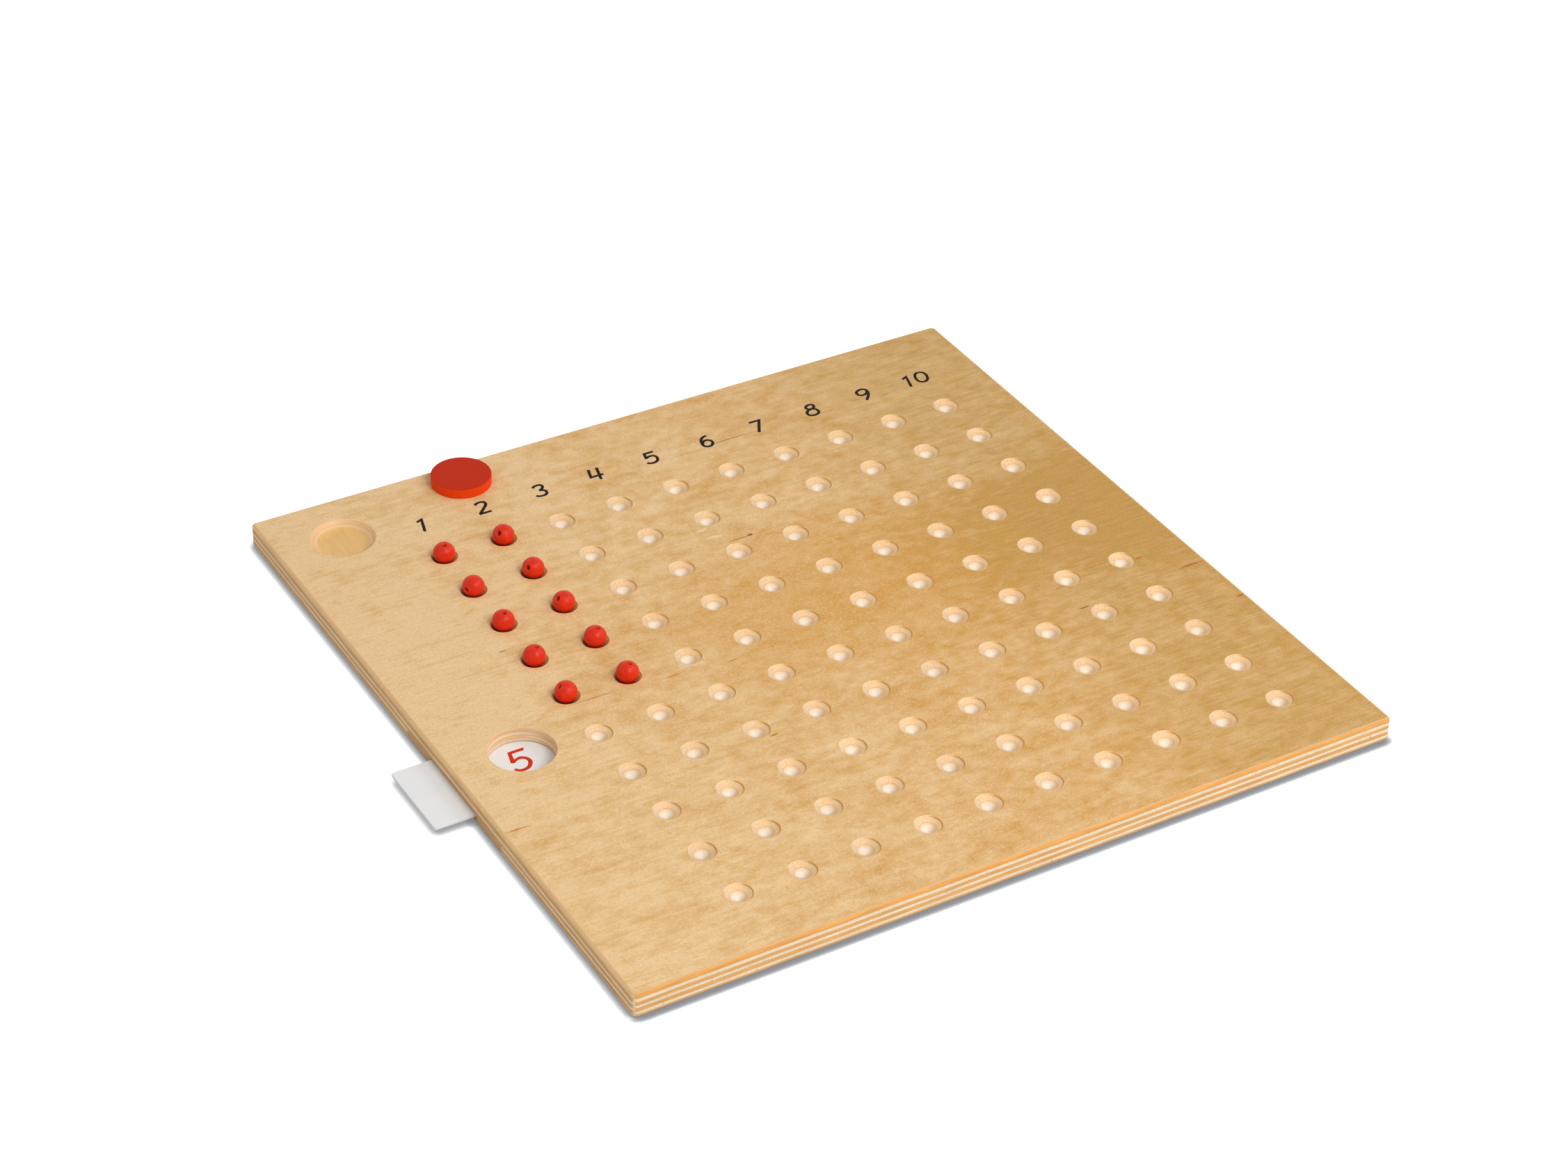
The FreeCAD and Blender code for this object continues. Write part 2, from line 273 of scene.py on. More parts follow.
# Marks in the top veneer: centre, half length, half width, colour, strength
DARK_MARK = linear(150, 88, 16)
AMBER_MARK = linear(190, 116, 19)
TAN_MARK = linear(210, 162, 100)
PALE_MARK = linear(244, 220, 180)
MARKS = [
    (34, 115.6, 9, 0.22, DARK_MARK, 1.0),
    (17, 114.2, 10, 0.25, AMBER_MARK, 0.4),
    (5, 54.5, 5, 0.28, AMBER_MARK, 1.0),
    (9.5, 54.8, 1.3, 0.8, DARK_MARK, 1.0),
    (-3, 60, 3.0, 0.9, PALE_MARK, 0.55),
    (-5, 66, 2.4, 0.7, PALE_MARK, 0.5),
    (-1, 63.4, 1.6, 1.0, TAN_MARK, 0.4),
    (-104, 33, 1.6, 0.36, DARK_MARK, 0.85),
    (-101, 33.2, 3.0, 0.4, TAN_MARK, 0.5),
    (-107, 26, 24, 0.7, TAN_MARK, 0.28),
    (-119, 49, 16, 0.8, TAN_MARK, 0.28),
    (-124, 38, 14, 0.9, TAN_MARK, 0.28),
    (-88, -6.6, 11, 0.22, AMBER_MARK, 1.0),
    (-58, -8.5, 3.4, 0.22, AMBER_MARK, 1.0),
    (-60, 4, 26, 0.6, TAN_MARK, 0.25),
    (-35, -10.5, 2.4, 0.3, AMBER_MARK, 1.0),
    (92.5, -43.6, 2.6, 0.4, DARK_MARK, 1.0),
    (143, -39.9, 6.5, 0.8, AMBER_MARK, 0.5),
    (143, -39.7, 4.5, 0.35, DARK_MARK, 1.0),
    (128, -27, 1.8, 0.4, AMBER_MARK, 1.0),
    (147, -64.5, 1.6, 0.4, DARK_MARK, 1.0),
    (-144, -58.6, 5.5, 0.24, AMBER_MARK, 1.0),
    (-44, -55, 1.8, 0.4, AMBER_MARK, 1.0),
    (-48, -4, 5.0, 3.4, PALE_MARK, 0.35),
]


def nearest_seat(s, x, y):
    """A point's place from the centre of the seat nearest to it."""
    half = PITCH / 2
    near_x = s.math("WRAP", s.minus(x, FIRST_SEAT.x), half, -half)
    near_y = s.math("WRAP", s.minus(y, FIRST_SEAT.y), half, -half)
    return near_x, near_y


def under_beads(s, x, y):
    """1 round the ten seats that hold a bead, two columns by five rows, and 0 elsewhere."""
    half = PITCH / 2
    columns = s.math("LESS_THAN", s.apart(x, FIRST_SEAT.x + half), 2 * half)
    rows = s.math("LESS_THAN", s.apart(y, FIRST_SEAT.y - 4 * half), 5 * half)
    return s.times(columns, rows)


def veneer_tone(s, x, y, curls):
    """How golden the veneer is: more to the right and in the middle rows, less at the left."""
    right = s.times(x, 1 / HIGH.x)
    middle_rows = s.span(s.apart(y, 10), 62, 0)
    clouds = s.noise((30, 17, THROUGH), (3.1, 7.7, 0))
    streaks = s.noise((30, 1.7, THROUGH), (0.7, 5.2, 0), 1.0)
    gold = s.math("MULTIPLY_ADD", right, 0.373, 0.36)
    gold = s.plus(gold, s.times(middle_rows, s.math("MULTIPLY_ADD", right, 0.21, 0.32)))
    gold = s.plus(gold, s.times(s.minus(clouds, 0.5), s.span(x, 10, 90, 1.0, 0.6)))
    gold = s.plus(gold, s.times(s.minus(curls, 0.5), s.span(x, 40, 110, 1.75, 1.2)))
    gold = s.plus(gold, s.times(s.minus(streaks, 0.5), s.span(x, -110, 0, 0.6, 0.3)))
    gold = s.plus(gold, s.span(y, 20, -60, 0, 0.14))
    at_left = s.times(s.span(s.apart(x, -130), 50, 0), s.span(s.apart(y, 20), 90, 0))
    return s.math("MULTIPLY_ADD", at_left, -0.3, gold)


def veneer_grain(s, colour, x, grit):
    """The veneer's fine lines and grit, its bright and amber flecks and, at the sides, fibres."""
    lines = s.noise((22, 0.7, THROUGH), (6.2, 1.9, 0), rough=0.6)
    colour = s.blend(s.span(lines, 0.6, 0.76, 0.0, 0.3), colour, linear(210, 156, 88))
    colour = s.lighten(colour, grit, 0.9, 1.1)
    to_left = s.span(x, 100, 10)
    shine = s.noise((1.3, 0.9, THROUGH), (3.7, 9.3, 0), rough=0.6)
    bright = s.times(s.span(shine, 0.5, 0.72, 0.0, 0.4), to_left)
    colour = s.blend(bright, colour, linear(240, 208, 164))
    flecks = s.noise((1.7, 1.0, THROUGH), (1.2, 6.6, 0), 3.0, 0.6)
    amber = s.times(s.span(flecks, 0.54, 0.72, 0.0, 0.45), to_left)
    colour = s.blend(amber, colour, linear(214, 160, 84))
    fibres = s.noise((13, 0.55, THROUGH), (4.2, 1.1, 0), 3.0, 0.65)
    sides = s.math("MAXIMUM", s.span(x, 20, 100), s.span(x, -60, -110, 0.0, 0.5))
    fibres = s.math("MULTIPLY_ADD", s.minus(fibres, 0.5), sides, 0.5)
    return s.lighten(colour, fibres, 0.86, 1.14)


def veneer_marks(s, colour, x, y):
    """The marks, each a soft ellipse with a wavy outline."""
    wave_x = s.math("MULTIPLY_ADD", s.noise((3, 1.2, THROUGH), (2, 8, 0)), 0.8, -0.4)
    wave_y = s.math("MULTIPLY_ADD", s.noise((4, 1.6, THROUGH), (6, 1, 0)), 2.4, -1.2)
    for mark_x, mark_y, length, width, tint, strength in MARKS:
        along = s.plus(s.math("MULTIPLY_ADD", x, 1 / length, -mark_x / length), wave_x)
        beside = s.plus(s.math("MULTIPLY_ADD", y, 1 / width, -mark_y / width), wave_y)
        square = s.math("MULTIPLY_ADD", along, along, s.times(beside, beside))
        colour = s.blend(s.span(square, 1.4, 0.3, 0.0, strength), colour, tint)
    return colour


def face_material():
    """The lacquered birch veneer of the two faces."""
    s = Shade("birch_face", 0.2)
    x, y, _ = s.split(s.place)
    curls = s.noise((7.5, 5, THROUGH), (1.4, 2.2, 0), 5.0, 0.62)
    grit = s.noise((0.85, 0.65, THROUGH), (8.1, 4.4, 0), rough=0.6)
    golden = s.blend(s.span(x, 40, 110), linear(202, 149, 72), linear(197, 151, 79))
    colour = s.blend(veneer_tone(s, x, y, curls), linear(230, 195, 145), golden)
    middle_x = s.span(s.apart(x, 15), 100, 0)
    middle_y = s.span(s.apart(y, 5), 70, 0)
    deeper = s.times(s.times(middle_x, middle_y), 0.45)
    colour = s.blend(deeper, colour, linear(214, 160, 84))
    colour = s.grey(colour, s.span(x, 20, 140, 1.0, 0.93))
    colour = veneer_grain(s, colour, x, grit)
    colour = veneer_marks(s, colour, x, y)

    # Painted red bounce light from the beads, on the lacquer in front of them
    near_x, near_y = nearest_seat(s, x, y)
    away = s.length(s.plus(near_x, 1.6), s.plus(near_y, 2.4))
    painted_red_bounce = s.times(under_beads(s, x, y), s.span(away, 6.0, 2.6, 0, 0.32))
    colour = s.blend(painted_red_bounce, colour, linear(236, 158, 104))
    rough = s.span(curls, 0.3, 0.7, 0.5, 0.6)
    return s.finish(colour, rough, [(curls, 0.02), (grit, 0.006)])


def ply_colours(s, depth):
    """The ply that a depth lies in: 0 where its grain runs along X, 1 where it runs along Y,
    and the share of the glue line beside it."""
    parity = 0.0
    glue = 0.0
    for index, border in enumerate(PLIES):
        past = s.math("GREATER_THAN", depth, border)
        parity = s.math("SUBTRACT" if index % 2 else "ADD", parity, past)
        glue = s.math("MAXIMUM", glue, s.span(s.apart(depth, border), 0.14, 0.02))
    return parity, glue


def edge_material():
    """The plies seen on the board's sides and in the window: long grain or end grain."""
    s = Shade("birch_edge", 0.2)
    x, y, z = s.split(s.place)
    waves = s.noise((22, 22, THROUGH))
    depth = s.plus(s.minus(THICK, z), s.math("MULTIPLY_ADD", waves, 0.24, -0.12))
    parity, glue = ply_colours(s, depth)
    normal_x, normal_y, _ = s.split(s.normal)
    facing_x = s.math("ABSOLUTE", normal_x)
    facing_y = s.math("ABSOLUTE", normal_y)
    cut = s.math("MULTIPLY_ADD", s.minus(facing_y, facing_x), parity, facing_x)

    # The outer ply is more golden than the inner ones
    outer_ply = s.span(depth, 1.62, 1.4)
    long_tint = s.blend(outer_ply, linear(224, 168, 101), linear(226, 160, 84))
    end_tint = s.blend(outer_ply, linear(240, 217, 182), linear(236, 198, 146))
    fibres = s.noise((9, 9, 0.28), (2.2, 4.1, 0), rough=0.6)
    long_grain = s.lighten(long_tint, fibres, 0.86, 1.1)
    stipple = s.noise((0.45, 0.45, 0.3), (1.2, 0.7, 0), 1.0)
    end_grain = s.lighten(end_tint, stipple, 0.88, 1.07)
    ticks = s.noise((1.1, 1.1, 3.0), (3.3, 8.4, 0), rough=0.7)
    end_grain = s.blend(s.span(ticks, 0.6, 0.72, 0.0, 0.55), end_grain, linear(188, 140, 88))
    colour = s.blend(s.span(cut, 0.35, 0.8), long_grain, end_grain)

    # Paler in the window, whose bore crosses the grain everywhere
    from_middle = s.math("MAXIMUM", s.math("ABSOLUTE", x), s.math("ABSOLUTE", y))
    inside = s.times(s.math("LESS_THAN", from_middle, HIGH.x - CORNER), 0.6)
    colour = s.blend(inside, colour, linear(238, 207, 166))
    patches = s.noise((16, 16, 1.6), (7.2, 0.3, 1.4))
    colour = s.lighten(colour, patches, 0.9, 1.08)
    colour = s.blend(s.times(glue, 0.55), colour, linear(158, 108, 62))
    # A painted highlight along the top of the arris, weaker where it faces the front
    arris = s.times(s.span(depth, 0.5, 0.1), s.span(normal_y, -0.5, -0.1, 0.25, 0.75))
    colour = s.blend(arris, colour, linear(224, 188, 140))
    return s.finish(colour, 0.6, [(stipple, 0.02), (fibres, 0.02)])


def seat_cone(s, turn_x, streaks, pale, dark):
    """The cone in the first ply, with painted glints as pale dashes at its back."""
    cone = s.blend(s.span(turn_x, -0.7, 0.3), linear(221, 192, 157), linear(238, 196, 146))
    cone = s.blend(s.span(turn_x, 0.6, 1.0), cone, linear(230, 196, 152))
    cone = s.lighten(cone, streaks, 0.95, 1.05)
    cone = s.blend(s.times(pale, 0.35), cone, linear(248, 226, 194))
    return s.blend(s.times(dark, 0.25), cone, linear(214, 160, 96))


def seat_core(s, near_x, near_y, radius, grain):
    """The cone's tip in the second ply, with a painted highlight in its middle and painted shade
    towards the front and the lower right.
    """
    core = s.blend(s.span(radius, 1.7, 3.0), linear(236, 220, 200), linear(230, 198, 154))
    core = s.blend(s.span(near_y, 0.5, -1.8, 0.0, 0.6), core, linear(216, 192, 162))
    core = s.lighten(core, grain, 0.92, 1.07)
    to_right = s.math("MULTIPLY_ADD", near_x, 0.6, s.times(near_y, -0.4))
    return s.blend(s.span(to_right, 0.4, 2.2, 0.0, 0.7), core, linear(222, 180, 126))


def seat_lip(s, turn_x, turn_y, dark):
    """The lip that the drill tore in the veneer, with a painted highlight at the back, where it
    faces the lamps, and painted shade on the right, where it faces away.
    """
    lip = s.blend(s.span(turn_x, -0.2, 0.9), linear(228, 190, 134), linear(212, 158, 82))
    lip = s.blend(s.span(turn_y, 0.45, 0.95), lip, linear(238, 205, 160))
    lip = s.blend(s.times(dark, 0.3), lip, linear(220, 168, 104))
    return s.blend(s.span(turn_x, -0.6, -0.95, 0.0, 0.6), lip, linear(204, 152, 86))


def seat_material():
    """The drilled seats: fine streaks round the cone, paler below the first glue line."""
    s = Shade("birch_seat", 0.2)
    x, y, z = s.split(s.place)
    near_x, near_y = nearest_seat(s, x, y)
    radius = s.length(near_x, near_y)
    turn_x = s.math("DIVIDE", near_x, s.math("MAXIMUM", radius, 0.05))
    turn_y = s.math("DIVIDE", near_y, s.math("MAXIMUM", radius, 0.05))

    # Each seat has its own streaks, because its place goes into their coordinates
    own = s.math("MULTIPLY_ADD", s.minus(x, near_x), 0.37, s.minus(y, near_y))
    round_it = s.join(turn_x, turn_y, s.math("MULTIPLY_ADD", radius, 0.2, own))
    streaks = s.noise((0.14, 0.14, 0.35), (0, 0, 0), 2.0, 0.6, round_it)
    dashes = s.noise((0.085, 0.085, 0.16), (5, 2, 0), 1.0, 0.5, round_it)
    at_back = s.span(turn_y, -0.1, 0.8, 0.1, 1.0)
    # Pale dashes, mostly at the back of a seat, are painted glints on the lacquer: painted
    # highlights
    pale = s.times(s.span(dashes, 0.5, 0.68), at_back)
    dark = s.times(s.span(dashes, 0.46, 0.34), at_back)
    grain = s.noise((2.4, 0.4, 0.4), rough=0.6)
    warp = s.noise((2.2, 2.2, 2.2), (3, 1, 0))
    depth = s.plus(s.minus(THICK, z), s.math("MULTIPLY_ADD", warp, 0.3, -0.15))

    cone = seat_cone(s, turn_x, streaks, pale, dark)
    core = seat_core(s, near_x, near_y, radius, grain)
    colour = s.blend(s.span(depth, PLIES[0] - 0.22, PLIES[0] + 0.22), cone, core)
    near_glue = s.span(s.apart(depth, PLIES[0] - 0.05), 0.16, 0.04)
    glue = s.times(near_glue, s.span(streaks, 0.3, 0.6, 0.1, 0.5))
    colour = s.blend(glue, colour, linear(212, 152, 84))
    colour = s.blend(s.span(depth, 0.62, 0.34), colour, seat_lip(s, turn_x, turn_y, dark))
    bright = s.noise((3, 3, 3), (0, 0, 3), 1.0, 0.5, s.join(own, 0.0, 0.0))
    colour = s.lighten(colour, bright, 0.96, 1.04)

    # Painted shade in the ring where a bead rests: dark brown on the left and tan on the right
    bead_shade_colour = s.blend(s.span(turn_x, 0.1, 0.8), linear(80, 42, 16), linear(170, 124, 70))
    bead_shade_share = s.times(under_beads(s, x, y), s.span(radius, 4.75, 4.25, 0.0, 0.85))
    colour = s.blend(bead_shade_share, colour, bead_shade_colour)
    return s.finish(colour, 0.6, [(grain, 0.03), (dashes, 0.02)])


def dish_material():
    """The recess: the first ply in its wall, the second in its floor."""
    s = Shade("birch_dish", 0.35)
    x, y, z = s.split(s.place)
    angle = s.math("ARCTAN2", s.minus(y, RECESS.y), s.minus(x, RECESS.x))
    around = s.join(s.math("COSINE", angle), s.math("SINE", angle), 0.0)
    depth = s.minus(THICK, z)
    ticks = s.noise((0.07, 0.07, 1), (2, 4, 0), 2.0, 0.7, around)
    grain = s.noise((0.5, 9, THROUGH), (1, 2, 0), 3.0, 0.6)
    wide = s.noise((2.4, 16, THROUGH), (5, 3, 0))
    floor = s.lighten(linear(225, 180, 114), grain, 0.93, 1.06)
    floor = s.lighten(floor, wide, 0.95, 1.05)
    flank = s.lighten(linear(234, 190, 140), ticks, 0.95, 1.05)
    colour = s.blend(s.span(depth, 1.4, 1.62), flank, floor)
    # A paler band down the cove below the first glue line, all the way round: a painted highlight
    pale = s.times(s.span(depth, 1.5, 1.75), s.span(depth, 2.6, 1.9))
    colour = s.blend(s.times(pale, 0.5), colour, linear(240, 212, 166))
    near_glue = s.span(s.apart(depth, PLIES[0]), 0.22, 0.05)
    glue = s.times(near_glue, s.span(ticks, 0.42, 0.6, 0.05, 0.45))
    colour = s.blend(glue, colour, linear(196, 142, 84))
    return s.finish(colour, 0.42, [(grain, 0.03)])


def inlay_material():
    """Plain brown solid wood with its grain along X."""
    s = Shade("inlay_wood", 0.2)
    rings = s.noise((60, 5.5, 1.4), (1, 1, 4))
    pores = s.noise((0.4, 0.35, 0.3), (4, 4, 2), rough=0.6)
    colour = s.lighten(linear(206, 165, 118), rings, 0.9, 1.08)
    colour = s.lighten(colour, pores, 0.86, 1.1)
    return s.finish(colour, 0.6, [(pores, 0.02)])


def card_material():
    """Matt white card with a faint texture."""
    s = Shade("white_card")
    fibres = s.noise((0.25, 0.25, 0.12))
    clouds = s.noise((9, 9, 9), (3, 0, 0))
    colour = s.lighten(linear(230, 229, 228), fibres, 0.985, 1.012)
    colour = s.lighten(colour, clouds, 0.985, 1.01)
    return s.finish(colour, 0.75, [(fibres, 0.006)])


def ink_material(name, tint):
    """Printed ink, slightly uneven."""
    s = Shade(name, 0.1)
    speckle = s.noise((0.3, 0.3, 0.3))
    return s.finish(s.lighten(tint, speckle, 0.85, 1.15), 0.6)


def disc_material():
    """Red lacquer on turned wood: brighter round the side than on the face."""
    s = Shade("red_disc", 0.1)
    _, _, upward = s.split(s.normal)
    mottle = s.noise((0.7, 0.7, 0.7), (0, 0, 0), 3.0, 0.6)
    specks = s.noise((0.28, 0.28, 0.28), (4, 0, 2), 1.0)
    colour = s.blend(s.span(upward, 0.3, 0.9), linear(232, 66, 8), linear(190, 41, 4))
    colour = s.lighten(colour, mottle, 0.93, 1.07)
    colour = s.blend(s.span(specks, 0.7, 0.8, 0, 0.35), colour, linear(120, 24, 16))
    return s.finish(colour, 0.5, [(mottle, 0.03), (specks, 0.01)])


def bead_material():
    """Satin red lacquer, paler round the bore's mouths and painted lighter inside the bore."""
    s = Shade("red_bead", 0.2)
    x, y, _ = s.split(s.place)
    radius = s.length(x, y)
    mottle = s.noise((1.5, 1.5, 1.5), (0, 0, 0), 3.0, 0.65)
    clouds = s.noise((4, 4, 4), (2, 5, 1), 1.0)
    colour = s.lighten(linear(222, 44, 12), mottle, 0.86, 1.1)
    colour = s.lighten(colour, clouds, 0.94, 1.06)
    colour = s.blend(s.span(radius, 1.7, 1.1, 0, 0.3), colour, linear(214, 70, 44))
    # Painted light inside the bore: a lighter red that stands against the shade there
    colour = s.blend(s.span(radius, 1.0, 0.88, 0, 0.9), colour, linear(226, 84, 56))
    peel = s.noise((0.55, 0.55, 0.55), (1, 3, 5), 1.0)
    return s.finish(colour, 0.3, [(mottle, 0.04), (peel, 0.14)])


def new_piece(name, bm, materials, node=None):
    """A finished mesh as a piece of the part."""
    bmesh.ops.recalc_face_normals(bm, faces=bm.faces)
    mesh = bpy.data.meshes.new(name)
    bm.to_mesh(mesh)
    bm.free()
    for material in materials:
        mesh.materials.append(material)
    piece = bpy.data.objects.new(name, mesh)
    bpy.context.scene.collection.objects.link(piece)
    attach(piece, "root")
    if node:
        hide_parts(node)
    return piece


def settle_normals(piece, limit=40):
    """Flat faces keep their own normal, and rounded faces run smoothly into them."""
    mesh = piece.data
    around = [[] for _ in mesh.vertices]
    for face in mesh.polygons:
        for vertex in face.vertices:
            around[vertex].append(face.index)
    flat = [not face.use_smooth for face in mesh.polygons]
    normals = [face.normal.copy() for face in mesh.polygons]
    near = cos(radians(limit))
    result = []
    for face in mesh.polygons:
        own = normals[face.index]
        for vertex in face.vertices:
            if flat[face.index]:
                result.append(own)
                continue
            close = [i for i in around[vertex] if normals[i].dot(own) > near]
            plane = next((i for i in close if flat[i]), None)
            if plane is not None:
                result.append(normals[plane])
            else:
                result.append(sum((normals[i] for i in close), Vector()).normalized())
    mesh.shade_smooth()
    mesh.normals_split_custom_set(result)


def ring_of(bm, points, height):
    """Vertices at one height, from points in millimetres."""
    return [bm.verts.new((x * MM, y * MM, height * MM)) for x, y in points]


def add_face(bm, corners, zone=0, smooth=False):
    """One face in a material slot."""
    face = bm.faces.new(corners)
    face.smooth = smooth
    face.material_index = zone


def band(bm, first, second, zone=0, skip=()):
    """Smooth quads between two closed rings of vertices."""
    for i in range(len(first)):
        if i not in skip:
            j = (i + 1) % len(first)
            add_face(bm, (first[i], first[j], second[j], second[i]), zone, True)


def circle(centre_x, centre_y, radius, count):
    """Points of a circle, in millimetres."""
    turns = (2 * pi * i / count for i in range(count))
    return [(centre_x + radius * cos(t), centre_y + radius * sin(t)) for t in turns]


def lathe(bm, centre, profile, count, zone=0):
    """Rings about an upright axis, from pairs of radius and height. A last radius of 0 closes
    them. The first ring and the last come back."""
    rings = [ring_of(bm, circle(centre.x, centre.y, r, count), z) for r, z in profile if r > 0]
    for first, second in zip(rings, rings[1:]):
        band(bm, first, second, zone)
    radius, height = profile[-1]
    if radius == 0:
        tip = bm.verts.new((centre.x * MM, centre.y * MM, height * MM))
        for i, vertex in enumerate(rings[-1]):
            add_face(bm, (vertex, rings[-1][(i + 1) % count], tip), zone, True)
    return rings[0], rings[-1]


def plate(bm, outline, holes, zone):
    """A flat face with round holes, as triangles between the vertices of its loops."""
    loops = [outline] + holes
    vertices = [vertex for loop in loops for vertex in loop]
    owner = [index for index, loop in enumerate(loops) for _ in loop]
    edges = []
    start = 0
    for loop in loops:
        count = len(loop)
        edges += [(start + i, start + (i + 1) % count) for i in range(count)]
        start += count
    flat = [vertex.co.xy / MM for vertex in vertices]
    found = delaunay_2d_cdt(flat, edges, [], 0, 1e-6)
    names = [origin[0] for origin in found[3]]
    for triangle in found[2]:
        corners = [names[i] for i in triangle]
        owners = {owner[i] for i in corners}
        in_a_hole = len(owners) == 1 and owners != {0}
        if not in_a_hole:
            add_face(bm, [vertices[i] for i in corners], zone)


def rounded_outline(low, high, corner, left_stops=()):
    """A rectangle with rounded corners, in turn from the lower right; the stops are extra
    points on its left side."""
    points = []
    for centre_x, centre_y, start in (
        (high.x - corner, low.y + corner, -90),
        (high.x - corner, high.y - corner, 0),
        (low.x + corner, high.y - corner, 90),
        (low.x + corner, low.y + corner, 180),
    ):
        for step in range(CORNER_STEPS + 1):
            turn = radians(start + 90 * step / CORNER_STEPS)
            points.append((centre_x + corner * cos(turn), centre_y + corner * sin(turn)))
        if start == 90:
            points += [(low.x, stop) for stop in left_stops]
    return points


def quarter_round(radius, steps):
    """A rounded edge from a flat face down to an upright side: how far each point is from the
    side's line and from the face."""
    turns = [pi / 2 * step / steps for step in range(steps + 1)]
    return [(radius * (1 - sin(turn)), radius * (1 - cos(turn))) for turn in turns]


def board_rings(bm, stops):
    """The board's outline at each height from the top to the underside, joined by its sides.
    Below the inlay's top the left side stays open between the two stops."""
    levels = [(inset, THICK - fall) for inset, fall in quarter_round(ARRIS, ARRIS_STEPS)]
    levels += [(0, INLAY_TOP), (0, ARRIS)]
    levels += [(inset, THICK - height) for inset, height in levels[ARRIS_STEPS - 1 :: -1]]
    rings = []
    for inset, height in levels:
        low = Vector((LOW.x + inset, LOW.y + inset))
        high = Vector((HIGH.x - inset, HIGH.y - inset))
        outline = rounded_outline(low, high, CORNER - inset, stops)
        rings.append(ring_of(bm, outline, height))
    for first, second, (_, height) in zip(rings, rings[1:], levels[1:]):
        band(bm, first, second, EDGE, (NOTCH,) if height < INLAY_TOP else ())
    return rings


def seat_profile():
    """A seat: the softened lip, the upright wall and the cone with its rounded tip."""
    cone_height = SEAT_RADIUS * SEAT_SLOPE
    tip = THICK - SEAT_WALL - cone_height
    profile = [(SEAT_RADIUS + spread, THICK - fall) for spread, fall in SEAT_LIP]
    return profile + [(SEAT_RADIUS * share, tip + cone_height * rise) for share, rise in SEAT_CONE]


def window_profile():
    """The window, bored down to the inlay, with its broken rim."""
    rim = [(BORE_RADIUS + inset, THICK - fall) for inset, fall in quarter_round(RIM, RIM_STEPS)]
    return rim + [(BORE_RADIUS, INLAY_TOP)]


def dish_profile():
    """The recess: the broken rim, the cove and the flat floor."""
    lift = DISH_COVE - DISH_DEPTH
    floor_radius = BORE_RADIUS - sqrt(DISH_COVE**2 - lift**2)
    lip_out, lip_down = DISH_LIP
    profile = [(BORE_RADIUS + RIM, THICK), (BORE_RADIUS + lip_out, THICK - lip_down)]
    start = asin((lift + RIM) / DISH_COVE)
    for step in range(COVE_STEPS + 1):
        turn = start + (pi / 2 - start) * step / COVE_STEPS
        radius = floor_radius + DISH_COVE * cos(turn)
        profile.append((radius, THICK + lift - DISH_COVE * sin(turn)))
    profile.append((0, THICK - DISH_DEPTH))
    return profile


def cut_pocket(bm, rings, front, back, end, window_foot):
    """The inlay's pocket, open at the left edge and below, and the underside round it."""
    path = []
    for centre_y, start in ((back - POCKET_CORNER, 90), (front + POCKET_CORNER, 0)):
        for step in range(CORNER_STEPS + 1):
            turn = radians(start - 90 * step / CORNER_STEPS)
            x = end - POCKET_CORNER + POCKET_CORNER * cos(turn)
            path.append((x, centre_y + POCKET_CORNER * sin(turn)))
    foot = ring_of(bm, path, 0)
    roof = ring_of(bm, path, INLAY_TOP)
    for i in range(len(path) - 1):
        add_face(bm, (foot[i], foot[i + 1], roof[i + 1], roof[i]), EDGE)
    lower = rings[ARRIS_STEPS + 1 :]
    for stop, last in ((NOTCH, 0), (NOTCH + 1, -1)):
        add_face(bm, [ring[stop] for ring in lower] + [foot[last], roof[last]], EDGE)
    plate(bm, [lower[0][NOTCH]] + roof + [lower[0][NOTCH + 1]], [window_foot], EDGE)
    bottom = rings[-1]
    add_face(bm, bottom[NOTCH + 1 :] + bottom[: NOTCH + 1] + foot, FACE)


def make_board():
    """The plywood board with its seats, window, recess and pocket."""
    bm = bmesh.new()
    inlay_low, inlay_high = box_of("slot_inlay")
    front = inlay_low.y - GLUE
    back = inlay_high.y + GLUE
    rings = board_rings(bm, (back, front))
    holes = []
    for column in range(SEATS):
        for row in range(SEATS):
            centre = FIRST_SEAT + Vector((column * PITCH, -row * PITCH, 0))
            holes.append(lathe(bm, centre, seat_profile(), SEAT_SIDES, SEAT)[0])
    window_rim, window_foot = lathe(bm, WINDOW, window_profile(), BORE_SIDES, EDGE)
    recess_rim, _ = lathe(bm, RECESS, dish_profile(), BORE_SIDES, DISH)
    plate(bm, rings[0], holes + [window_rim, recess_rim], FACE)
    cut_pocket(bm, rings, front, back, inlay_high.x + GLUE, window_foot)
    materials = [face_material(), edge_material(), seat_material(), dish_material()]
    settle_normals(new_piece("board_wood", bm, materials, "board"))


def make_disc():
    """The counter, with softly broken edges."""
    low, high = box_of("counter_disc")
    radius = (high.x - low.x) / 2
    edge = quarter_round(DISC_EASE, DISC_STEPS)
    profile = [(radius - DISC_EASE - DISC_TOP_RING, high.z)]
    profile += [(radius - inset, high.z - fall) for inset, fall in edge]
    profile += [(radius - inset, low.z + rise) for inset, rise in edge[::-1]]
    profile.append((0, low.z))
    bm = bmesh.new()
    top, _ = lathe(bm, (low + high) / 2, profile, BORE_SIDES)
    add_face(bm, top)
    settle_normals(new_piece("counter", bm, [disc_material()], "counter_disc"))


# Each bead's column and row, and its bore's tilt from upright and heading, in degrees
BEADS = [
    (1, 1, 10, -110),
    (1, 2, 85, -158),
    (1, 3, 10, -100),
    (1, 4, 12, -20),
    (1, 5, 40, 170),
    (2, 1, 50, -152),
    (2, 2, 60, -154),
    (2, 3, 47, -170),
    (2, 4, 14, -30),
    (2, 5, 11, -30),
]


